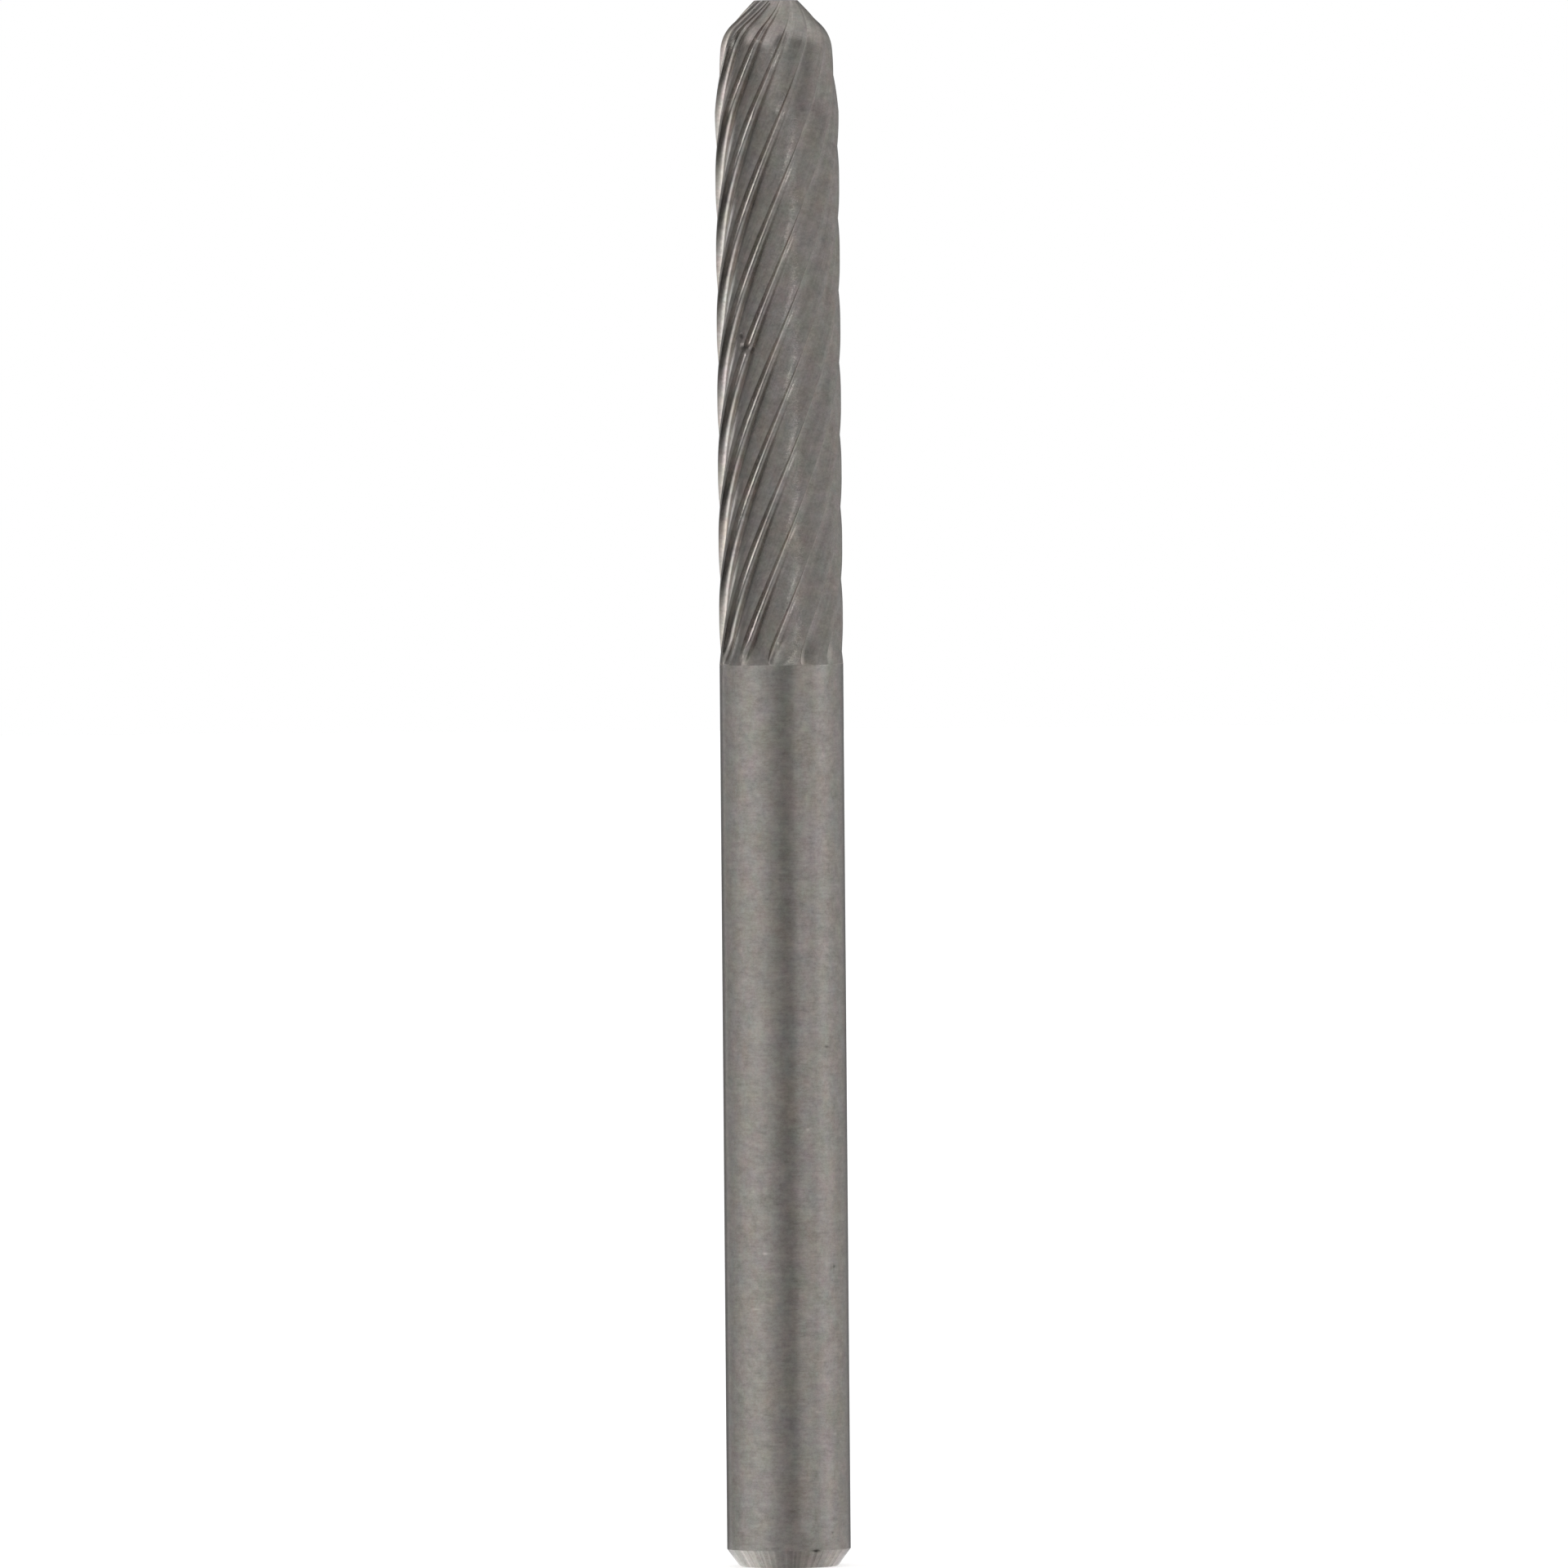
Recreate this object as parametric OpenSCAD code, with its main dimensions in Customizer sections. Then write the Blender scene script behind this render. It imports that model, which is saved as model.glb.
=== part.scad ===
// Solid carbide burr: a ground rod with helical cutting flutes and a blunt coned nose.
// The rod stands on its shank end, with the origin at the centre of that end face,
// and the nose points along +Z. Millimetres and degrees.

/* [Rod] */
// Diameter of the shank and of the fluted head, ground from one rod
rod_d = 3; // [2.8:0.05:4]
// Length over all, from the shank end to the nose flat
overall_l = 38; // [32:0.5:60]

/* [Shank end] */
// How far the chamfer cuts in from the side
chamfer_w = 0.31; // [0.1:0.01:0.5]
// How far the chamfer reaches up the shank
chamfer_h = 0.43; // [0.2:0.01:0.8]
// Radius where the chamfer turns into the end face
end_round = 0.06; // [0.02:0.01:0.08]

/* [Nose] */
// Diameter of the flat on the nose
nose_flat_d = 1.05; // [0.8:0.05:1.3]
// Slope of the nose cone, measured from the axis
nose_angle = 44; // [40:1:52]
// Radius of the shoulder between the nose cone and the lead-in taper
shoulder_r = 1; // [0.6:0.05:1.1]
// Slope of the slight taper behind the shoulder, measured from the axis
lead_in_angle = 5.5; // [4:0.5:7]
// Length of rod that the nose and the taper take together
lead_in_l = 2.7; // [2.5:0.1:3.2]

/* [Flutes] */
// Number of flutes
flute_count = 12; // [9:1:13]
// Rise of a flute over one full turn
flute_lead = 21; // [16:0.5:40]
// Length of the flutes at full depth, from the nose flat
flute_l = 15.4; // [6:0.1:20]
// Depth of a flute
flute_depth = 0.19; // [0.12:0.01:0.22]
// Width of the land left on the rod behind a cutting edge
land_w = 0.11; // [0.04:0.01:0.14]
// Slope of the cutting face, measured from the rod's surface
cutting_face_angle = 75; // [60:1:80]
// Radius at the bottom of a flute
gullet_r = 0.13; // [0.06:0.01:0.22]
// Radius of the curve on which the grinding wheel lifts out of a flute
lift_r = 1.6; // [1.5:0.1:8]
// Distance round the rod from the cutting edge to the middle of a run-out's tip
tip_w = 0.4; // [0.2:0.05:0.6]
// How blunt a run-out ends, from 1 for a pointed tip
tip_bluntness = 4; // [1:0.5:6]
// Turn of the flutes about the axis
flute_clock = 23.8; // [0:0.1:30]

/* [Hidden] */

// Steps along each stretch of the outline and of the fluted head
arc_steps = 5;
flute_steps = 8;
land_steps = 2;
runout_steps = 6;
taper_steps = 3;
cone_steps = 3;
ring_gap = 0.6;
// The flute's points crowd towards its steep cutting face
crowding = 1.4;
// The fluted head is drawn this far under the shank's surface, and runs down into it
seam = 0.002;
root_l = 0.4;

rod_r = rod_d / 2;
nose_flat_r = nose_flat_d / 2;
pitch_w = PI * rod_d / flute_count;
helix_slope = PI * rod_d / flute_lead;
helix_angle = atan(helix_slope);

function ramp(a, b, n) = [for (i = [1:n]) a + (b - a) * i / n];

// The chamfer meets the end face at a small rounded corner
chamfer_angle = atan2(chamfer_w, chamfer_h);
end_flat_r = rod_r - chamfer_w - end_round * tan((90 - chamfer_angle) / 2);
end_corner = [for (a = concat([-90], ramp(-90, -chamfer_angle, arc_steps)))
    [end_flat_r, end_round] + end_round * [cos(a), sin(a)]];

// The nose cone and the taper would meet at a sharp corner, which the shoulder rounds off
taper_z = overall_l - lead_in_l;
taper_r = rod_r - lead_in_l * tan(lead_in_angle);
corner_z = overall_l - (taper_r - nose_flat_r) / (tan(nose_angle) - tan(lead_in_angle));
shoulder_reach = shoulder_r * tan((nose_angle - lead_in_angle) / 2);
shoulder_z = corner_z - shoulder_reach * cos(lead_in_angle);
cone_z = corner_z + shoulder_reach * cos(nose_angle);
shoulder_centre = [
    taper_r + (overall_l - shoulder_z) * tan(lead_in_angle) - shoulder_r * cos(lead_in_angle),
    shoulder_z - shoulder_r * sin(lead_in_angle)];

// Radius of the ground rod at a height, before the flutes
function rod_radius(z) =
    z <= taper_z ? rod_r
    : z <= shoulder_z ? taper_r + (overall_l - z) * tan(lead_in_angle)
    : z <= cone_z ? shoulder_centre.x + sqrt(shoulder_r ^ 2 - (z - shoulder_centre.y) ^ 2)
    : nose_flat_r + (overall_l - z) * tan(nose_angle);

// A flute's section: the cutting face, a round gullet, then the tooth's back up to the
// land. Widths run round the rod from the cutting edge, and depths go in from its surface.
gullet_y = flute_depth - gullet_r;
gullet_x = (gullet_r + gullet_y * cos(cutting_face_angle)) / sin(cutting_face_angle);
back_w = pitch_w - land_w;
back_angle = asin(gullet_r / norm([back_w - gullet_x, gullet_y]))
    + atan2(gullet_y, back_w - gullet_x);
face_w = gullet_x - gullet_r * sin(cutting_face_angle);
gullet_w = gullet_x + gullet_r * sin(back_angle);
function flute_cut(x) =
    x < face_w ? x * tan(cutting_face_angle)
    : x < gullet_w ? gullet_y + sqrt(gullet_r ^ 2 - (x - gullet_x) ^ 2)
    : (back_w - x) * tan(back_angle);

// The wheel lifts out of the rod on a curve at the shank end of a flute, where the flute
// turns shallow first and narrow only at its tip
flute_end_z = overall_l - flute_l;
runout_l = sqrt(2 * lift_r * flute_depth) * cos(helix_angle);
head_z = flute_end_z - runout_l;
function depth_share(z) = 1 - (max(0, flute_end_z - z) / runout_l) ^ 2;

// One tooth of a ring, as width and depth: a flute from its cutting edge, and the land
function tooth(share) =
    let (
        width_share = share ^ (1 / tip_bluntness),
        a = tip_w * (1 - width_share),
        b = a + back_w * width_share)
    concat(
        [for (k = [0:flute_steps - 1])
            let (x = back_w * (k / flute_steps) ^ crowding)
            [a + x * width_share, flute_cut(x) * share]],
        [for (k = [0:land_steps - 1]) [b + (a + pitch_w - b) * k / land_steps, 0]]);

// Heights of the rings, closer together where the form changes
head_heights = concat(
    [for (i = [0:runout_steps])
        flute_end_z - runout_l * cos(90 * (i + 0.5) / (runout_steps + 0.5))],
    ramp(flute_end_z, taper_z, ceil((taper_z - flute_end_z) / ring_gap)),
    ramp(taper_z, shoulder_z, taper_steps),
    ramp(shoulder_z, cone_z, arc_steps),
    ramp(cone_z, overall_l, cone_steps));
ring_count = len(head_heights);

// Turn of a flute from one height to the next, at one helix angle along the surface
function turn(z0, z1) =
    let (r0 = rod_radius(z0), r1 = rod_radius(z1))
    sign(z1 - z0) * helix_slope * norm([z1 - z0, r1 - r0]) * 360 / (PI * (r0 + r1));
head_turns = [for (i = 0, a = turn(flute_end_z, head_heights[0]); i < ring_count;
    i = i + 1, a = a + turn(head_heights[i - 1], head_heights[min(i, ring_count - 1)])) a];

// The points of a ring, with the tooth's form scaled down as the nose narrows
function ring(z, turned) =
    let (form = tooth(depth_share(z)), scale = (rod_radius(z) - seam) / rod_r)
    [for (k = [0:flute_count - 1], p = form)
        let (a = flute_clock - 90 + turned + (k + p.x / pitch_w) * 360 / flute_count)
        [(rod_r - p.y) * scale * cos(a), (rod_r - p.y) * scale * sin(a), z]];
function root_ring(z) =
    [for (p = ring(head_heights[0], head_turns[0]))
        let (r = norm([p.x, p.y])) [p.x * (rod_r - seam) / r, p.y * (rod_r - seam) / r, z]];

module fluted_head() {
    rings = concat(
        [root_ring(head_z - root_l)],
        [for (i = [0:ring_count - 1]) ring(head_heights[i], head_turns[i])]);
    m = len(rings[0]);
    points = concat([for (r = rings) each r], [[0, 0, head_z - root_l], [0, 0, overall_l]]);
    sides = [for (i = [0:ring_count - 1], j = [0:m - 1])
        let (a = i * m + j, b = i * m + (j + 1) % m)
        each [[a, a + m, b], [b, a + m, b + m]]];
    lower_end = [for (j = [0:m - 1]) [(ring_count + 1) * m, j, (j + 1) % m]];
    upper_end = [for (j = [0:m - 1])
        [(ring_count + 1) * m + 1, ring_count * m + (j + 1) % m, ring_count * m + j]];
    polyhedron(points = points, faces = concat(sides, lower_end, upper_end));
}

module shank() {
    outline = concat([[0, 0]], end_corner,
        [[rod_r, chamfer_h], [rod_r, head_z - root_l / 2], [0, head_z - root_l / 2]]);
    rotate_extrude($fn = 96) polygon(outline);
}

module burr() {
    color([0.52, 0.51, 0.49]) {
        shank();
        fluted_head();
    }
}

burr();
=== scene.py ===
import math

import bpy
from mathutils import Matrix, Vector


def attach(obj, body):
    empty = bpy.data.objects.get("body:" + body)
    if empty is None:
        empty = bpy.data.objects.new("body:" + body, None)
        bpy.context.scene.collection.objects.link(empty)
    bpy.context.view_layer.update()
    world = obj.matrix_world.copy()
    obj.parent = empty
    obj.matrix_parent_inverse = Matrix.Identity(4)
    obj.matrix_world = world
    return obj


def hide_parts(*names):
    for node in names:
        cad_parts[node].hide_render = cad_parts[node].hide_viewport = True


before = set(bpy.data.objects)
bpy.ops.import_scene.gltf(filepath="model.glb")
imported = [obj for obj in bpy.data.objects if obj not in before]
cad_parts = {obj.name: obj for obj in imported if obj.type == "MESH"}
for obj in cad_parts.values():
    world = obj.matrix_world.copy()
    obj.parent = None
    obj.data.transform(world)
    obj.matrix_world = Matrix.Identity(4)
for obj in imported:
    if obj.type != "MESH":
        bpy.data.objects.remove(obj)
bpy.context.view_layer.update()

MM = 0.001
FULL_TURN = 2 * math.pi

# Sizes, as in the CAD part
ROD_R = 1.5 * MM
OVERALL_L = 38 * MM
CHAMFER_W = 0.31 * MM
CHAMFER_H = 0.43 * MM
END_ROUND = 0.06 * MM
NOSE_FLAT_R = 0.525 * MM
NOSE_ANGLE = math.radians(44)
SHOULDER_R = 1 * MM
LEAD_IN_ANGLE = math.radians(5.5)
LEAD_IN_L = 2.7 * MM
FLUTE_COUNT = 12
FLUTE_LEAD = 21 * MM
FLUTE_L = 15.4 * MM
FLUTE_DEPTH = 0.19 * MM
LAND_W = 0.11 * MM
CUTTING_FACE_ANGLE = math.radians(75)
GULLET_R = 0.13 * MM
LIFT_R = 1.6 * MM
TIP_W = 0.4 * MM
TIP_BLUNTNESS = 4.0
FLUTE_CLOCK = math.radians(23.8)
HELIX_ANGLE = math.atan(FULL_TURN * ROD_R / FLUTE_LEAD)
FLUTE_END_Z = OVERALL_L - FLUTE_L
RUNOUT_L = math.sqrt(2 * LIFT_R * FLUTE_DEPTH) * math.cos(HELIX_ANGLE)
HEAD_Z = FLUTE_END_Z - RUNOUT_L

# How far the backs of the teeth dome, which the CAD part leaves out
BACK_DOME = 0.01 * MM
# Chips and a nick: bearing from the camera's side, height, half width, half height, depth
NICKS = (
    (math.radians(-38.8), 29.9 * MM, 0.08 * MM, 0.08 * MM, 0.045 * MM),
    (math.radians(-36.1), 29.6 * MM, 0.07 * MM, 0.09 * MM, 0.04 * MM),
    (math.radians(26.3), 0.43 * MM, 0.11 * MM, 0.03 * MM, 0.032 * MM))

# Columns of points in one flute, which crowd towards its cutting edge, and on one land
FLUTE_COLUMNS = 21
CROWDING = 1.5
LAND_COLUMNS = 3
# Rows of points up the shank, up the plain stretch under the head, and up the run-outs
SHANK_ROWS = 22
UNDER_HEAD_L = 0.5 * MM
UNDER_HEAD_ROWS = 4
RUNOUT_ROWS = 34
# Gaps between the rows of the head, past its chips, over the shoulder and up the nose cone
HEAD_GAP = 0.09 * MM
CHIPS_LOW_Z = 29.42 * MM
CHIPS_HIGH_Z = 30.06 * MM
CHIPS_GAP = 0.02 * MM
SHOULDER_GAP = 0.03 * MM
CONE_GAP = 0.04 * MM
# Under the head the columns spread out evenly over this length
SPREAD_L = 0.4 * MM

# Heights this close count as one, and points this close are merged
TOUCH = 0.001 * MM
MERGE_GAP = 0.0005 * MM
# Keeps whole numbers whole when they are divided
ROUNDING = 0.0001
# Least radius in the sum of the flutes' turn, and least share of a flute at its run-out
LEAST_R = 0.1 * MM
LEAST_SHARE = 0.0001
# Edges that bend more than this stay sharp
CREASE_ANGLE = math.radians(32)

# Painted sheen in a flute, its colour made paler where the gullet and cutting face catch light:
# width from the cutting edge, width of its soft end, and level. The first is the gullet's and the
# second the cutting face's.
PAINTED_SHEENS = ((0.36 * MM, 0.1 * MM, 0.26), (0.1 * MM, 0.05 * MM, 0.65))
# Depth at which the painted sheen is full, and depth at which a chip's painted shade is full
PAINTED_SHEEN_DEPTH = 0.1 * MM
CHIP_DEPTH = 0.03 * MM
# Shift of the grinding marks from tooth to tooth, so that no two teeth match
TOOTH_SHIFT = 1.7 * MM
# Length at the head's start over which the run of the marks changes
MARKS_TURN_L = 0.05 * MM


def ramp(a, b, n):
    """n even steps from a to b, without a itself."""
    return [a + (b - a) * i / n for i in range(1, n + 1)]


def burr_outline():
    """Radius and height of each row of points, from the middle of the end face to the
    middle of the nose flat."""
    slope = math.atan2(CHAMFER_W, CHAMFER_H)
    flat_r = ROD_R - CHAMFER_W - END_ROUND * math.tan((math.pi / 2 - slope) / 2)
    points = [(flat_r * t, 0) for t in (0, 0.25, 0.5, 0.75)]
    for a in [-math.pi / 2] + ramp(-math.pi / 2, -slope, 6):
        points.append((flat_r + END_ROUND * math.cos(a), END_ROUND + END_ROUND * math.sin(a)))
    foot_r, foot_z = points[-1]
    points += [(foot_r + (ROD_R - foot_r) * t, foot_z + (CHAMFER_H - foot_z) * t)
               for t in (0.15, 0.3, 0.45, 0.6, 0.75, 0.85, 0.9, 0.94, 0.97, 1)]
    points += [(ROD_R, CHAMFER_H + z * MM) for z in (0.01, 0.02, 0.03, 0.045, 0.06, 0.1)]
    shank_z = points[-1][1]
    points += [(ROD_R, z) for z in ramp(shank_z, HEAD_Z - UNDER_HEAD_L, SHANK_ROWS)]

    taper_z = OVERALL_L - LEAD_IN_L
    taper_r = ROD_R - LEAD_IN_L * math.tan(LEAD_IN_ANGLE)
    closing = math.tan(NOSE_ANGLE) - math.tan(LEAD_IN_ANGLE)
    corner_z = OVERALL_L - (taper_r - NOSE_FLAT_R) / closing
    reach = SHOULDER_R * math.tan((NOSE_ANGLE - LEAD_IN_ANGLE) / 2)
    shoulder_z = corner_z - reach * math.cos(LEAD_IN_ANGLE)
    cone_z = corner_z + reach * math.cos(NOSE_ANGLE)
    centre_r = (taper_r + (OVERALL_L - shoulder_z) * math.tan(LEAD_IN_ANGLE)
                - SHOULDER_R * math.cos(LEAD_IN_ANGLE))
    centre_z = shoulder_z - SHOULDER_R * math.sin(LEAD_IN_ANGLE)

    def rod_radius(z):
        if z <= taper_z:
            return ROD_R
        if z <= shoulder_z:
            return taper_r + (OVERALL_L - z) * math.tan(LEAD_IN_ANGLE)
        if z <= cone_z:
            return centre_r + math.sqrt(SHOULDER_R ** 2 - (z - centre_z) ** 2)
        return NOSE_FLAT_R + (OVERALL_L - z) * math.tan(NOSE_ANGLE)

    heights = ramp(HEAD_Z - UNDER_HEAD_L, HEAD_Z, UNDER_HEAD_ROWS)
    # Rows crowd towards the tips of the run-outs, and again past the chips
    heights += [FLUTE_END_Z - RUNOUT_L * math.cos(a) for a in ramp(0, math.pi / 2, RUNOUT_ROWS)]
    for low, high, gap in ((FLUTE_END_Z, CHIPS_LOW_Z, HEAD_GAP),
                           (CHIPS_LOW_Z, CHIPS_HIGH_Z, CHIPS_GAP),
                           (CHIPS_HIGH_Z, taper_z, HEAD_GAP),
                           (taper_z, shoulder_z, HEAD_GAP),
                           (shoulder_z, cone_z, SHOULDER_GAP),
                           (cone_z, OVERALL_L, CONE_GAP)):
        heights += ramp(low, high, math.ceil((high - low) / gap))
    points += [(rod_radius(z), z) for z in heights]
    points += [(NOSE_FLAT_R * t, OVERALL_L) for t in (0.8, 0.6, 0.4, 0.2, 0)]
    return points


class Term:
    """A number in a node tree. Sums of terms make the Math nodes for them."""

    def __init__(self, tree, socket):
        self.tree = tree
        self.socket = socket

    def math(self, operation, *others):
        made = self.tree.nodes.new("ShaderNodeMath")
        made.operation = operation
        for slot, value in zip(made.inputs, (self,) + others):
            join(self.tree, value, slot)
        return Term(self.tree, made.outputs[0])

    def __add__(self, other):
        return self.math("ADD", other)

    def __sub__(self, other):
        return self.math("SUBTRACT", other)

    def __rsub__(self, other):
        return self * -1 + other

    def __mul__(self, other):
        return self.math("MULTIPLY", other)

    def __truediv__(self, other):
        return self.math("DIVIDE", other)

    def __pow__(self, other):
        return self.math("POWER", other)

    def below(self, other):
        return self.math("LESS_THAN", other)

    def above(self, other):
        return self.math("GREATER_THAN", other)

    def least(self, other):
        return self.math("MINIMUM", other)

    def most(self, other):
        return self.math("MAXIMUM", other)

    def clamped(self):
        return self.least(1).most(0)


def join(tree, value, slot):
    """Links a term or a socket to a slot, or sets the slot to a plain value."""
    if isinstance(value, Term):
        tree.links.new(value.socket, slot)
    elif isinstance(value, bpy.types.NodeSocket):
        tree.links.new(value, slot)
    else:
        slot.default_value = value


def node(tree, kind, inputs=(), **settings):
    """A new node with its settings, and its inputs joined by name or number."""
    made = tree.nodes.new(kind)
    for name, value in settings.items():
        setattr(made, name, value)
    for name, value in dict(inputs).items():
        join(tree, value, made.inputs[name])
    return made


def parts_of(tree, place):
    """The X, Y and Z of a vector, as terms."""
    parts = node(tree, "ShaderNodeSeparateXYZ", {0: place})
    return [Term(tree, parts.outputs[name]) for name in "XYZ"]


def total(terms):
    first, *others = terms
    return sum(others, first)


def pick(share, yes, no):
    """yes where the share is 1, no where it is 0, and a mix between."""
    return share * (yes - no) + no


def between(value, low, high):
    """0 at the low value and 1 at the high one, with an even rise between."""
    return ((value - low) / (high - low)).clamped()


def hump(*offsets):
    """A soft round hump: 1 at its middle, and about a third at an offset of 1."""
    return (total(off * off for off in offsets) * -1).math("EXPONENT")


FLUTE_INPUTS = (
    ("Rod Radius", ROD_R), ("Flute Count", FLUTE_COUNT), ("Flute Lead", FLUTE_LEAD),
    ("Flute End Height", FLUTE_END_Z), ("Run-out Length", RUNOUT_L),
    ("Flute Depth", FLUTE_DEPTH), ("Land Width", LAND_W),
    ("Cutting Face Angle", CUTTING_FACE_ANGLE),
    ("Gullet Radius", GULLET_R), ("Back Dome", BACK_DOME),
    ("Tip Width", TIP_W), ("Tip Bluntness", TIP_BLUNTNESS),
    ("Flute Clock", FLUTE_CLOCK),
    ("Flute Columns", FLUTE_COLUMNS), ("Land Columns", LAND_COLUMNS))


def stored(tree, geometry, name, value, data_type="FLOAT"):
    """The geometry, with a value kept on each of its points under a name."""
    kept = node(tree, "GeometryNodeStoreNamedAttribute",
                {"Geometry": geometry, "Name": name, "Value": value},
                data_type=data_type, domain="POINT")
    return kept.outputs[0]


def flute_section(back_w, depth, face_angle, gullet_r, dome):
    """A function for the depth of a flute at a width from its cutting edge: the cutting
    face, the round gullet, then the tooth's back, domed a little."""
    gullet_y = depth - gullet_r
    gullet_x = (gullet_r + gullet_y * face_angle.math("COSINE")) / face_angle.math("SINE")
    run = back_w - gullet_x
    back_angle = ((gullet_r / (run * run + gullet_y * gullet_y) ** 0.5).math("ARCSINE")
                  + gullet_y.math("ARCTAN2", run))
    face_w = gullet_x - gullet_r * face_angle.math("SINE")
    gullet_w = gullet_x + gullet_r * back_angle.math("SINE")

    def cut(x):
        face = x * face_angle.math("TANGENT")
        arc = gullet_y + (gullet_r * gullet_r - (x - gullet_x) ** 2).most(0) ** 0.5
        up_back = (back_w - x) / (back_w - gullet_w)
        back = (back_w - x) * back_angle.math("TANGENT") - up_back * (1 - up_back) * dome * 4
        return pick(x.below(face_w), face, pick(x.below(gullet_w), arc, back))

    return cut


def turned_outline(tree, outline, rod_r, slope, head_z, end_z):
    """The outline, with how far the flutes have turned at each row kept as "turned"."""
    place = node(tree, "GeometryNodeInputPosition").outputs[0]
    number = Term(tree, node(tree, "GeometryNodeInputIndex").outputs[0])
    last = node(tree, "GeometryNodeFieldAtIndex", {"Index": (number - 1).most(0), "Value": place},
                data_type="FLOAT_VECTOR", domain="POINT").outputs[0]
    step = node(tree, "ShaderNodeVectorMath", {0: place, 1: last}, operation="DISTANCE")
    radius, _, height = parts_of(tree, place)
    last_radius, _, _ = parts_of(tree, last)
    mean_r = ((radius + last_radius) * 0.5).most(LEAST_R)
    # The flutes turn from the head's start to the rim of the nose flat
    turning = height.above(head_z + TOUCH) * radius.above(NOSE_FLAT_R - TOUCH)
    growth = turning * slope * Term(tree, step.outputs["Value"]) / mean_r
    summed = node(tree, "GeometryNodeAccumulateField", {"Value": growth},
                  data_type="FLOAT", domain="POINT")
    turned = Term(tree, summed.outputs["Leading"]) - (end_z - head_z) * slope / rod_r
    return stored(tree, outline, "turned", turned)


def ground_flutes_tree(material):
    """Revolves the turned outline and grinds the helical flutes into it. The outline comes
    in as a row of points, with the radius as X and the height as Z."""
    tree = bpy.data.node_groups.new("ground_flutes", "GeometryNodeTree")
    sockets = tree.interface
    sockets.new_socket("Outline", in_out="INPUT", socket_type="NodeSocketGeometry")
    for name, value in FLUTE_INPUTS:
        kind = "NodeSocketInt" if isinstance(value, int) else "NodeSocketFloat"
        made = sockets.new_socket(name, in_out="INPUT", socket_type=kind)
        made.default_value = value
    sockets.new_socket("Burr", in_out="OUTPUT", socket_type="NodeSocketGeometry")
    ins = tree.nodes.new("NodeGroupInput")
    outs = tree.nodes.new("NodeGroupOutput")

    def given(name):
        return Term(tree, ins.outputs[name])

    rod_r, count, lead = given("Rod Radius"), given("Flute Count"), given("Flute Lead")
    end_z, runout = given("Flute End Height"), given("Run-out Length")
    tip_w, bluntness = given("Tip Width"), given("Tip Bluntness")
    flute_columns, land_columns = given("Flute Columns"), given("Land Columns")

    # Width of a tooth and its land round the rod, the flutes' slope to the axis, and the length
    # of a flute for each unit of height
    pitch_w = rod_r * FULL_TURN / count
    slope = rod_r * FULL_TURN / lead
    per_height = (slope * slope + 1) ** 0.5
    head_z = end_z - runout
    back_w = pitch_w - given("Land Width")
    cut = flute_section(back_w, given("Flute Depth"), given("Cutting Face Angle"),
                        given("Gullet Radius"), given("Back Dome"))
    outline = turned_outline(tree, ins.outputs["Outline"], rod_r, slope, head_z, end_z)

    # The sheet of points that becomes the burr's skin
    tooth_columns = flute_columns + land_columns
    size = node(tree, "GeometryNodeAttributeDomainSize", {"Geometry": outline}, component="MESH")
    rows = Term(tree, size.outputs["Point Count"])
    sheet = node(tree, "GeometryNodeMeshGrid",
                 {"Vertices X": count * tooth_columns + 1, "Vertices Y": rows})
    number = Term(tree, node(tree, "GeometryNodeInputIndex").outputs[0])
    column = (number / rows + ROUNDING).math("FLOOR")
    row = (number - column * rows + 0.5).math("FLOOR")

    def of_row(value, data_type):
        """A value of the outline, at the row of a point of the sheet."""
        found = node(tree, "GeometryNodeSampleIndex",
                     {"Geometry": outline, "Index": row, "Value": value},
                     data_type=data_type, domain="POINT")
        return found.outputs[0]

    place = node(tree, "GeometryNodeInputPosition")
    r, _, z = parts_of(tree, of_row(place.outputs[0], "FLOAT_VECTOR"))
    turned = node(tree, "GeometryNodeInputNamedAttribute", {"Name": "turned"}, data_type="FLOAT")
    turn = Term(tree, of_row(turned.outputs["Attribute"], "FLOAT"))

    # The wheel lifts out on a curve: the flute turns shallow first and narrow only at its tip
    share = (1 - ((end_z - z).most(0) / runout) ** 2).most(LEAST_SHARE)
    width_share = share ** (bluntness ** -1)
    low_x = tip_w * (1 - width_share)
    high_x = low_x + back_w * width_share
    tooth = (column / tooth_columns + ROUNDING).math("FLOOR")
    along = column - tooth * tooth_columns
    in_flute = along.below(flute_columns)
    section_x = back_w * (along / flute_columns).least(1) ** CROWDING
    over_land = ((along - flute_columns) / land_columns).most(0)
    ground_x = pick(in_flute, low_x + section_x * width_share,
                    high_x + (low_x + pitch_w - high_x) * over_land)
    # On the plain shank the columns are evenly spaced
    even_x = along / tooth_columns * pitch_w
    x = pick(((head_z - z) / SPREAD_L).clamped(), even_x, ground_x)
    dug = in_flute * cut(section_x).most(0) * share * z.above(head_z - TOUCH)

    angle = given("Flute Clock") - math.pi / 2 + turn + (tooth + x / pitch_w) / count * FULL_TURN
    to_east, to_north = angle.math("COSINE"), angle.math("SINE")
    # Chips out of the cutting edges and a nick over the chamfer
    bites = []
    for bearing, nick_z, wide, tall, deep in NICKS:
        off_x = (rod_r * to_east - ROD_R * math.sin(bearing)) / wide
        off_y = (rod_r * to_north + ROD_R * math.cos(bearing)) / wide
        off_z = (z - nick_z) / tall
        bites.append(hump(off_x, off_y, off_z) * deep)
    bitten = total(bites)
    reach = (rod_r - dug) * r / rod_r - bitten
    spun = node(tree, "ShaderNodeCombineXYZ",
                {"X": reach * to_east, "Y": reach * to_north, "Z": z})
    moved = node(tree, "GeometryNodeSetPosition",
                 {"Geometry": sheet.outputs["Mesh"], "Position": spun.outputs[0]})
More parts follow.
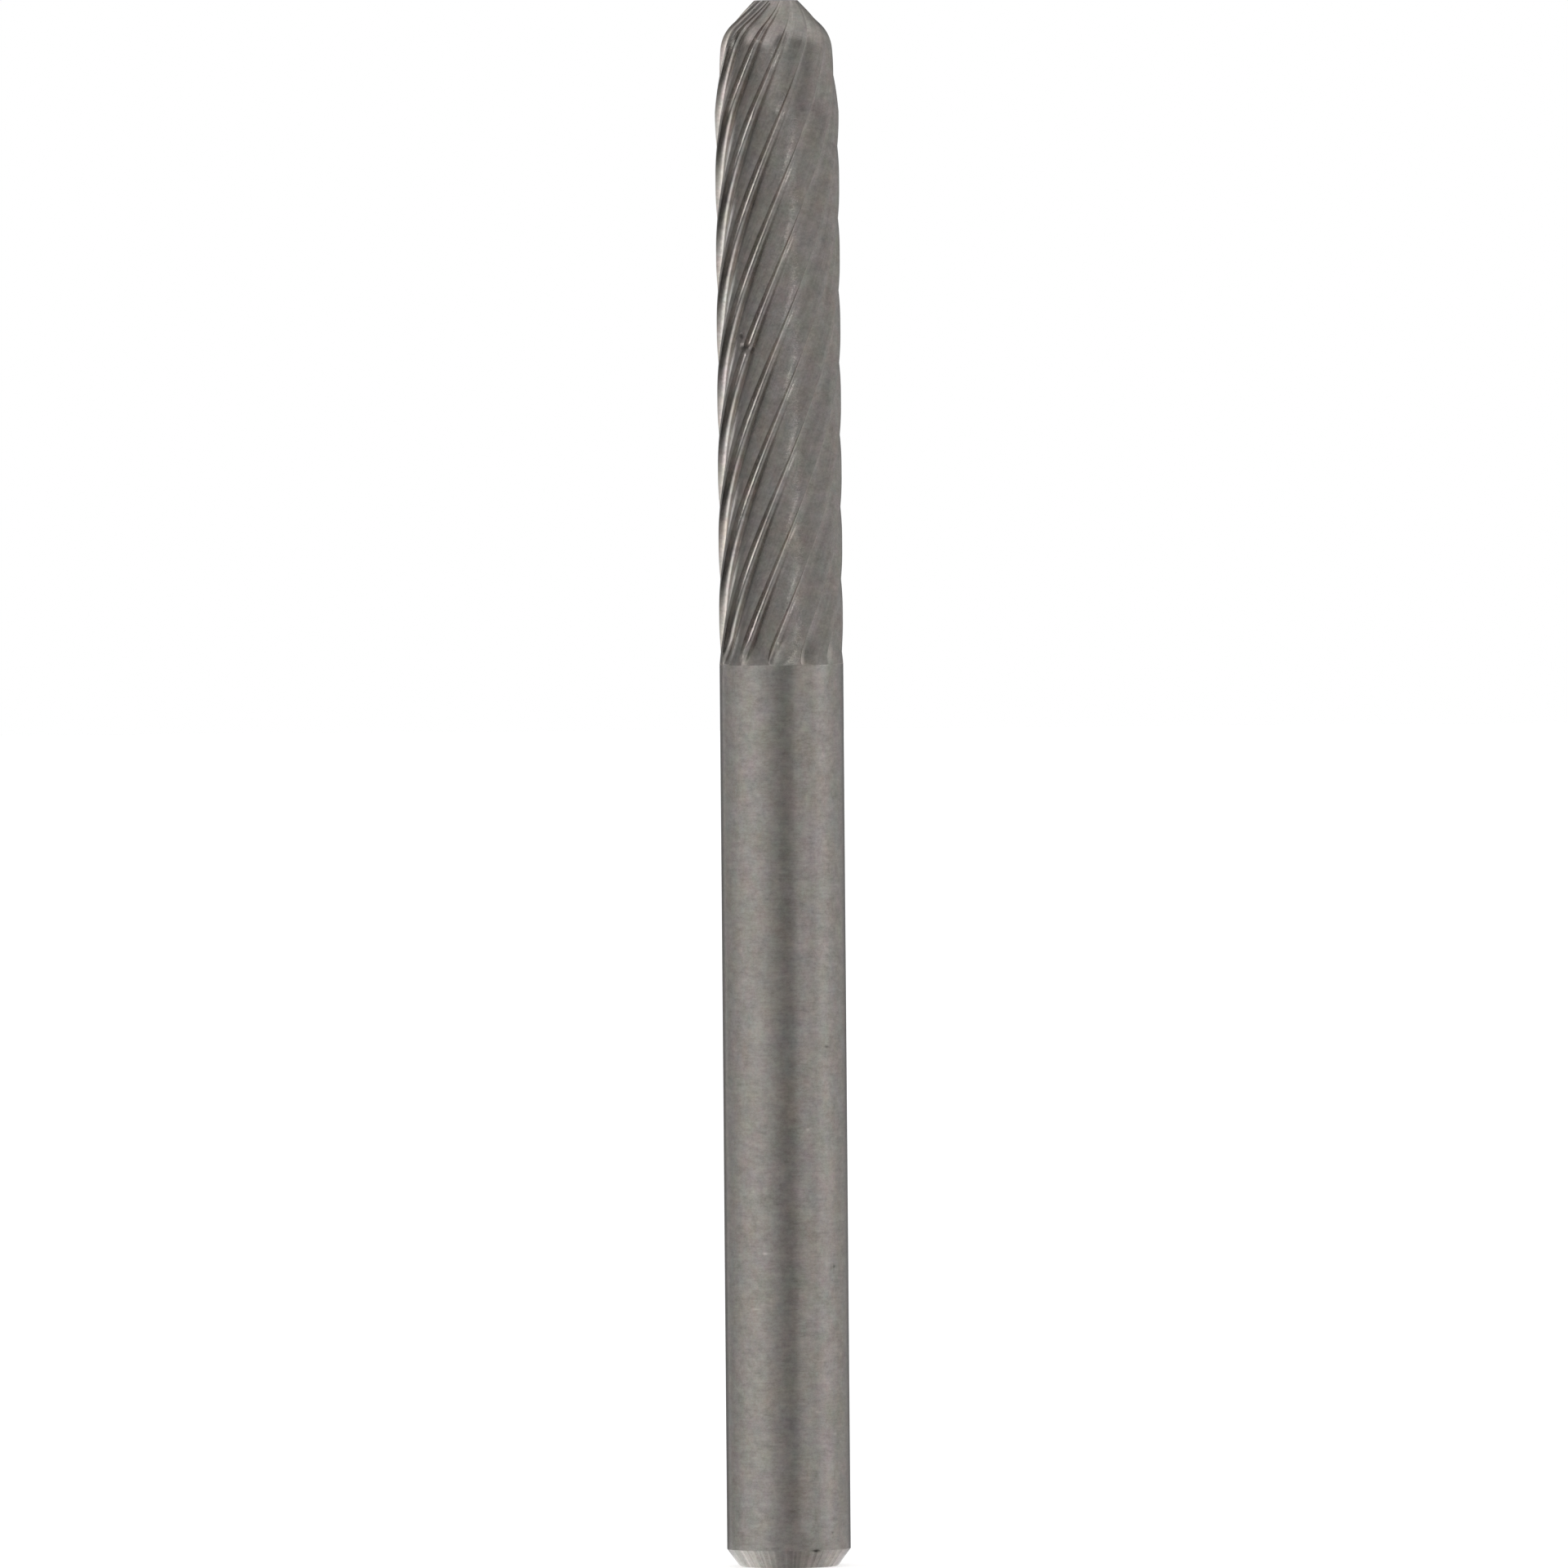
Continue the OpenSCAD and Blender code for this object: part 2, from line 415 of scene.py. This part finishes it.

    # What the finish reads: where the skin is chipped, which also gets a painted shade, where the
    # flutes get a painted sheen of paler colour, the run of the grinding marks, and the way
    # across them
    skin = stored(tree, moved.outputs[0], "nicked_painted_shade", (bitten / CHIP_DEPTH).clamped())
    from_edge = (x - low_x) / width_share
    painted_sheen = total(((wide - from_edge) / soft).clamped() * level for wide, soft, level in PAINTED_SHEENS)
    skin = stored(tree, skin, "gullet", in_flute * painted_sheen * (dug / PAINTED_SHEEN_DEPTH).clamped())
    wheel_run = node(tree, "ShaderNodeCombineXYZ",
                     {"X": x + tooth * TOOTH_SHIFT, "Y": z * per_height, "Z": dug})
    skin = stored(tree, skin, "wheel_run", wheel_run.outputs[0], "FLOAT_VECTOR")
    # The marks run round the shank and along the flutes
    flute_cos, flute_sin = per_height ** -1, slope / per_height
    over_head = ((z - head_z) / MARKS_TURN_L).clamped()
    across = node(tree, "ShaderNodeCombineXYZ",
                  {"X": to_north * flute_cos * over_head * -1,
                   "Y": to_east * flute_cos * over_head,
                   "Z": pick(over_head, flute_sin * -1, 1)})
    skin = stored(tree, skin, "across_marks", across.outputs[0], "FLOAT_VECTOR")

    closed = node(tree, "GeometryNodeMergeByDistance", {"Geometry": skin, "Distance": MERGE_GAP})
    smooth = node(tree, "GeometryNodeSetShadeSmooth",
                  {"Geometry": closed.outputs[0], "Shade Smooth": True}, domain="FACE")
    bend = Term(tree, node(tree, "GeometryNodeInputMeshEdgeAngle").outputs["Unsigned Angle"])
    creased = node(tree, "GeometryNodeSetShadeSmooth",
                   {"Geometry": smooth.outputs[0], "Shade Smooth": bend.below(CREASE_ANGLE)},
                   domain="EDGE")
    real = node(tree, "GeometryNodeRealizeInstances", {"Geometry": creased.outputs[0]})
    coated = node(tree, "GeometryNodeSetMaterial",
                  {"Geometry": real.outputs[0], "Material": material})
    tree.links.new(coated.outputs[0], outs.inputs["Burr"])
    return tree


def ground_burr(material):
    """The burr's skin, from the turned outline and the flute tree."""
    outline = bpy.data.meshes.new("burr_outline")
    outline.from_pydata([(r, 0, z) for r, z in burr_outline()], [], [])
    maker = bpy.data.objects.new("burr_maker", outline)
    bpy.context.scene.collection.objects.link(maker)
    tree = ground_flutes_tree(material)
    grinding = maker.modifiers.new("grinding", "NODES")
    grinding.node_group = tree
    values = dict(FLUTE_INPUTS)
    for item in tree.interface.items_tree:
        if item.in_out == "INPUT" and item.name in values:
            grinding[item.identifier] = values[item.name]
    shape = maker.evaluated_get(bpy.context.evaluated_depsgraph_get())
    mesh = bpy.data.meshes.new_from_object(shape)
    bpy.data.objects.remove(maker)
    mesh.name = "ground_burr"
    burr = bpy.data.objects.new("ground_burr", mesh)
    bpy.context.scene.collection.objects.link(burr)
    return burr


# Noises of the finish: stretch in X, Y and Z, grains per mm, detail and roughness. The
# grains of the chamfer's slashes are per radius of the rod.
GRAIN = ((1, 1, 1.3), 2.4, 5, 0.95)
ROUND_MARKS = ((1, 1, 6), 2.5, 2, 0.8)
FLUTE_LINES = ((1, 0.06, 1), 14, 2, 0.7)
FEED_MARKS = ((0.6, 1, 1), 8, 3, 0.75)
CHAMFER_SLASHES = ((1, 1, 1), 11, 3, 0.8)
ROSE_CLOUDS = ((1, 1, 0.7), 2.2, 3, 0.75)
WARM_CLOUDS = ((-1, 1, 0.7), 1.7, 3, 0.75)
SATIN_PATCHES = ((1, 1, 1), 3, 3, 0.7)
# Shares of the grain and the marks in the tone and in the relief
TONE_SHARES = {"grain": 1.3, "rounds": 0.4, "lines": 0.35, "slashes": 1.6}
RELIEF_SHARES = {"grain": 1, "feed": 0.45, "rounds": 0.5, "slashes": 1}
RELIEF_DEPTH = 0.004 * MM
# Colour of the carbide, and the clouds that move it, with their strength
CARBIDE_COLOUR = (
    ("Red", 0.31, "rose", 0.24), ("Green", 0.288, "rose", -0.12), ("Blue", 0.267, "warm", 0.28))
# Tone of the shank against the head's, what the painted sheen in the flutes adds, and what
# the painted shade in a chip takes away
SHANK_TONE = 1.17
PAINTED_SHEEN_TONE = 0.72
CHIP_PAINTED_SHADE = 0.55
# Roughness of the shank and the head, how far it varies on each, and what a chip adds
SHANK_SATIN = 0.36
HEAD_SATIN = 0.17
SHANK_SATIN_SWING = 0.12
HEAD_SATIN_SWING = 0.06
CHIP_SATIN = 0.2
# Relief left in the smooth gullets, and the painted sheen level at which they are fully smooth
GULLET_RELIEF = 0.3
GULLET_SMOOTH_AT = 0.4
# Marks on the shank, placed one by one: bearing from the camera's side in degrees, height, width
# and tallness in mm, and how much paler or darker they are
MARKS = (
    (43, 12.65, 0.15, 0.06, -0.4), (50, 7.3, 0.08, 0.08, -0.4), (45, 0.85, 0.07, 0.07, -0.4),
    (-65, 0.6, 0.06, 0.06, -0.25), (-20, 7.65, 0.12, 0.05, 0.5), (-30, 6.3, 0.2, 0.05, 0.35),
    (-32, 9.15, 0.1, 0.05, 0.35), (21, 10.65, 0.1, 0.06, 0.35), (28, 3.8, 0.08, 0.06, 0.35),
    (50, 3.25, 0.1, 0.07, 0.35))
# Heights in mm over which the finish changes at the head's start and at the chamfer
HEAD_EDGE = (HEAD_Z / MM, HEAD_Z / MM + 0.1)
CHAMFER_EDGE = (CHAMFER_H / MM + 0.01, CHAMFER_H / MM - 0.01)


def bare_material(name):
    """A new material, its node tree, and the slot for its surface."""
    material = bpy.data.materials.new(name)
    material.use_nodes = True
    tree = material.node_tree
    tree.nodes.clear()
    out = tree.nodes.new("ShaderNodeOutputMaterial")
    return material, tree, out.inputs["Surface"]


def stretched(tree, place, factors):
    return node(tree, "ShaderNodeVectorMath", {0: place, 1: factors},
                operation="MULTIPLY").outputs[0]


def fine_noise(tree, place, stretch, per_mm, detail, roughness):
    """Noise of so many grains per mm, as a term with its middle at 0."""
    made = node(tree, "ShaderNodeTexNoise",
                {"Vector": stretched(tree, place, stretch), "Scale": per_mm,
                 "Detail": detail, "Roughness": roughness})
    return Term(tree, made.outputs["Fac"]) - 0.5


def carbide_finish():
    """Bare cemented carbide, satin from the grinding wheel."""
    material, tree, surface = bare_material("ground_carbide")

    def kept(name, output):
        return node(tree, "ShaderNodeAttribute", attribute_name=name).outputs[output]

    nicked_painted_shade, gullet = Term(tree, kept("nicked_painted_shade", "Fac")), Term(tree, kept("gullet", "Fac"))
    to_mm = (1 / MM, 1 / MM, 1 / MM)
    in_mm = stretched(tree, node(tree, "ShaderNodeTexCoord").outputs["Object"], to_mm)
    along_flutes = stretched(tree, kept("wheel_run", "Vector"), to_mm)
    east, north, height = parts_of(tree, in_mm)
    on_head = between(height, *HEAD_EDGE)
    on_chamfer = between(height, *CHAMFER_EDGE)

    # The chamfer was ground straight up and down its slope
    reach = (east * east + north * north) ** 0.5
    rim = node(tree, "ShaderNodeCombineXYZ", {"X": east / reach, "Y": north / reach, "Z": 0})
    # Grain of the sintered metal, and the marks of the grinding wheel
    noises = {
        "grain": fine_noise(tree, in_mm, *GRAIN),
        "rounds": fine_noise(tree, in_mm, *ROUND_MARKS) * (1 - on_head),
        "lines": fine_noise(tree, along_flutes, *FLUTE_LINES) * on_head,
        "feed": fine_noise(tree, along_flutes, *FEED_MARKS) * on_head,
        "slashes": fine_noise(tree, rim.outputs[0], *CHAMFER_SLASHES) * on_chamfer}
    tone = total(noises[name] * share for name, share in TONE_SHARES.items())
    for bearing, mark_z, wide, tall, paler in MARKS:
        angle = math.radians(bearing)
        off_x = (east - ROD_R / MM * math.sin(angle)) * (2 / wide)
        off_y = (north + ROD_R / MM * math.cos(angle)) * (2 / wide)
        off_z = (height - mark_z) * (2 / tall)
        tone = tone + hump(off_x, off_y, off_z) * paler
    # Painted shade: the chips and the nick are darkened in colour, standing in for shade in their
    # notches
    tone = (tone - nicked_painted_shade * CHIP_PAINTED_SHADE + 1) * pick(on_head, 1, SHANK_TONE)
    # Painted sheen: paler colour in the gullets and on the cutting faces, standing in for the
    # light they catch
    tone = tone * (gullet * PAINTED_SHEEN_TONE + 1)

    # Faint green and rose clouds
    clouds = {"rose": fine_noise(tree, in_mm, *ROSE_CLOUDS),
              "warm": fine_noise(tree, in_mm, *WARM_CLOUDS)}
    colour = node(tree, "ShaderNodeCombineColor",
                  {part: tone * (clouds[name] * strength + 1) * level
                   for part, level, name, strength in CARBIDE_COLOUR})

    satin = pick(on_head, HEAD_SATIN, SHANK_SATIN)
    swing = pick(on_head, HEAD_SATIN_SWING, SHANK_SATIN_SWING)
    satin = satin + fine_noise(tree, in_mm, *SATIN_PATCHES) * swing + nicked_painted_shade * CHIP_SATIN
    # The wheel's edge left the gullets smoother than the teeth's backs
    left = pick(between(gullet, 0, GULLET_SMOOTH_AT), GULLET_RELIEF, 1)
    relief = node(tree, "ShaderNodeBump",
                  {"Strength": 1, "Distance": RELIEF_DEPTH,
                   "Height": total(noises[name] * share
                                   for name, share in RELIEF_SHARES.items()) * left})
    metal = node(tree, "ShaderNodeBsdfPrincipled",
                 {"Metallic": 1, "Base Color": colour.outputs[0], "Roughness": satin,
                  "Anisotropic": 1, "Tangent": kept("across_marks", "Vector"),
                  "Normal": relief.outputs[0]})
    join(tree, metal.outputs[0], surface)
    return material


# Brightness by bearing, in degrees from the camera's side, positive to the right: level with
# the burr, over and under that level, and of the floor close by
ROOM_LIGHT = (
    (-180, 0.2), (-154, 0.22), (-134, 0.37), (-110, 0.36), (-84, 0.42), (-60, 0.49), (-30, 0.54),
    (-6, 0.52), (6, 0.52), (24, 0.56), (60, 0.57), (84, 0.6), (100, 0.68), (125, 0.62),
    (145, 0.5), (160, 0.24), (180, 0.2))
UPPER_LIGHT = (
    (-180, 0.4), (-156, 0.1), (-144, 0.45), (-128, 0.85), (-108, 0.95), (-96, 1.1), (-72, 1.1),
    (-48, 0.9), (-36, 0.75), (-24, 0.58), (-12, 0.42), (0, 0.34), (12, 0.32), (24, 0.32),
    (36, 0.36), (48, 0.7), (60, 0.75), (72, 0.9), (96, 0.95), (108, 0.8), (132, 0.65),
    (156, 0.3), (180, 0.3))
LOWER_LIGHT = (
    (-180, 0.3), (-160, 0.1), (-144, 0.7), (-132, 1.5), (-108, 1.35), (-96, 1.7), (-84, 1.7),
    (-60, 1.55), (-48, 1.4), (-36, 0.95), (-24, 0.6), (-12, 0.35), (0, 0), (12, 0),
    (24, 0), (36, 0.15), (46, 1.15), (60, 0.65), (72, 1.35), (84, 1.7), (96, 1.6), (108, 1.05),
    (120, 0.75), (144, 0.65), (156, 0.15), (180, 0.1))
NEAR_LIGHT = (
    (-180, 1.2), (-60, 1.75), (-43, 1.6), (-35, 1.5), (-28, 1.1), (-21, 0.85), (-14, 0.62),
    (0, 0.38), (14, 0.44), (21, 0.5), (28, 0.68), (35, 0.8), (43, 0.85), (50, 0.94), (69, 1.1),
    (180, 1.2))
# Brightest level that a list of stops can hold
STOP_GAIN = 2.5
# Heights in degrees where the panels under and over the burr's level, and the light from
# straight above, start and are full
PANEL_HEIGHTS = ((LOWER_LIGHT, -12, -20), (UPPER_LIGHT, 18, 34))
ZENITH_HEIGHTS = (45, 65)
ZENITH_LIGHT = 0.85
# Lamps: bearing, height over the horizon, half width and half height in degrees, how much
# the lamp climbs over its width, and its level. In turn they light the glints down the
# middle, the flutes near the left side and the cutting faces left of the middle.
LAMPS = (
    (7, 5.5, 16, 1.1, -0.44, 2.5), (-140, 3.5, 8, 2.2, 0, 1.9), (30, -32, 9, 3.2, 0.5, 6))
# The floor: its half width, its grey, its glow to the camera, and the distances from the
# burr's axis between which its near light fades
FLOOR_HALF_W = 0.6
FLOOR_GREY = 0.8
FLOOR_GLOW = 0.6
NEAR_LIGHT_FADES = (2 * MM, 3.5 * MM)


def level_ramp(tree, place, stops):
    """Brightness from a list of (degrees, level) stops, by bearing."""
    ramp_node = tree.nodes.new("ShaderNodeValToRGB")
    elements = ramp_node.color_ramp.elements
    while len(elements) < len(stops):
        elements.new(0.5)
    for element, (degrees, level) in zip(elements, stops):
        element.position = (degrees + 180) / 360
        element.color = (level / STOP_GAIN, level / STOP_GAIN, level / STOP_GAIN, 1)
    join(tree, place, ramp_node.inputs["Fac"])
    parts = node(tree, "ShaderNodeSeparateColor", {0: ramp_node.outputs["Color"]})
    return Term(tree, parts.outputs[0]) * STOP_GAIN


def bearing_of(east, north):
    """Bearing from the camera's side, as 0 to 1 with the right side over 0.5."""
    return east.math("ARCTAN2", north * -1) / FULL_TURN + 0.5


def camera_sees(tree, path):
    """1 for the rays that leave the camera or pass through glass, 0 for all others."""
    names = ("Is Camera Ray", "Is Transmission Ray")
    direct, through = (Term(tree, path.outputs[name]) for name in names)
    return direct.most(through)


def floor_finish():
    """Pale matt floor that looks white to the camera and keeps the burr's shadow. The burr's
    skin mirrors a painted glow of the floor close by, which only reflections see, and the panels
    under the horizon further out."""
    material, tree, surface = bare_material("pale_floor")
    path = tree.nodes.new("ShaderNodeLightPath")
    matt = node(tree, "ShaderNodeBsdfDiffuse",
                {"Color": (FLOOR_GREY, FLOOR_GREY, FLOOR_GREY, 1)})
    glow = node(tree, "ShaderNodeEmission", {"Strength": camera_sees(tree, path) * FLOOR_GLOW})
    plain = node(tree, "ShaderNodeAddShader", {0: matt.outputs[0], 1: glow.outputs[0]})
    east, north, _ = parts_of(tree, node(tree, "ShaderNodeTexCoord").outputs["Object"])
    near = node(tree, "ShaderNodeEmission",
                {"Strength": level_ramp(tree, bearing_of(east, north), NEAR_LIGHT)})
    away = (east * east + north * north) ** 0.5
    mirrored = node(tree, "ShaderNodeMixShader",
                    {0: between(away, *NEAR_LIGHT_FADES), 1: near.outputs[0],
                     2: node(tree, "ShaderNodeBsdfTransparent").outputs[0]})
    both = node(tree, "ShaderNodeMixShader",
                {0: path.outputs["Is Glossy Ray"], 1: plain.outputs[0], 2: mirrored.outputs[0]})
    join(tree, both.outputs[0], surface)
    return material


def floor_sheet():
    mesh = bpy.data.meshes.new("floor")
    s = FLOOR_HALF_W
    mesh.from_pydata([(-s, -s, 0), (s, -s, 0), (s, s, 0), (-s, s, 0)], [], [(0, 1, 2, 3)])
    mesh.materials.append(floor_finish())
    floor = bpy.data.objects.new("floor", mesh)
    bpy.context.scene.collection.objects.link(floor)
    return floor


def studio_world():
    """Soft panels round the burr, a darker camera side and a few small lamps."""
    world = bpy.data.worlds.new("studio")
    bpy.context.scene.world = world
    world.use_nodes = True
    tree = world.node_tree
    tree.nodes.clear()
    out = tree.nodes.new("ShaderNodeOutputWorld")
    east, north, up = parts_of(tree, node(tree, "ShaderNodeTexCoord").outputs["Generated"])
    bearing = bearing_of(east, north)
    height = up.math("ARCSINE") * (360 / FULL_TURN)
    level = level_ramp(tree, bearing, ROOM_LIGHT)
    for stops, start, full in PANEL_HEIGHTS:
        level = pick(between(height, start, full), level_ramp(tree, bearing, stops), level)
    level = pick(between(height, *ZENITH_HEIGHTS), ZENITH_LIGHT, level)
    for lamp_bearing, lamp_height, half_w, half_h, climb, strength in LAMPS:
        off_side = ((bearing - 0.5) * 360 - lamp_bearing).math("WRAP", 180, -180)
        off_height = height - lamp_height - off_side * climb
        level = level + hump(off_side / half_w, off_height / half_h) * strength
    # The camera itself sees white
    seen = camera_sees(tree, tree.nodes.new("ShaderNodeLightPath"))
    sky = node(tree, "ShaderNodeBackground",
               {"Color": (1, 1, 1, 1), "Strength": pick(seen, 1, level)})
    tree.links.new(sky.outputs[0], out.inputs["Surface"])


# The photograph's frame in pixels: its height and width, the nose flat's distance under its
# top edge, and where the burr's axis crosses its middle row. The axis leans in it.
FRAME_PX = 1920
NOSE_PX = 0.3
AXIS_PX = 958.1
PX_PER_M = 50.48 / MM
LEAN = math.atan(0.008555)
# The camera's distance, its angle over the horizon, and its sensor's width
CAMERA_AWAY = 1.2
CAMERA_ABOVE = math.radians(2)
SENSOR_MM = 36


def photo_camera():
    data = bpy.data.cameras.new("camera")
    camera = bpy.data.objects.new("camera", data)
    bpy.context.scene.collection.objects.link(camera)
    data.sensor_width = SENSOR_MM
    data.lens = SENSOR_MM * CAMERA_AWAY * PX_PER_M / FRAME_PX
    data.clip_start = 0.01
    data.clip_end = 20
    middle_z = OVERALL_L - (FRAME_PX / 2 - NOSE_PX) / PX_PER_M
    aim = Vector(((FRAME_PX / 2 - AXIS_PX) / PX_PER_M, 0, middle_z))
    back = Vector((0, -math.cos(CAMERA_ABOVE), math.sin(CAMERA_ABOVE)))
    turn = (-back).to_track_quat("-Z", "Y").to_matrix()
    roll = Matrix.Rotation(-LEAN, 3, "Z")
    camera.matrix_world = Matrix.Translation(aim + back * CAMERA_AWAY) @ (turn @ roll).to_4x4()
    bpy.context.scene.camera = camera


bpy.context.scene.view_settings.view_transform = "Standard"
photo_camera()
studio_world()
floor = floor_sheet()

burr = ground_burr(carbide_finish())
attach(burr, "root")
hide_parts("burr")
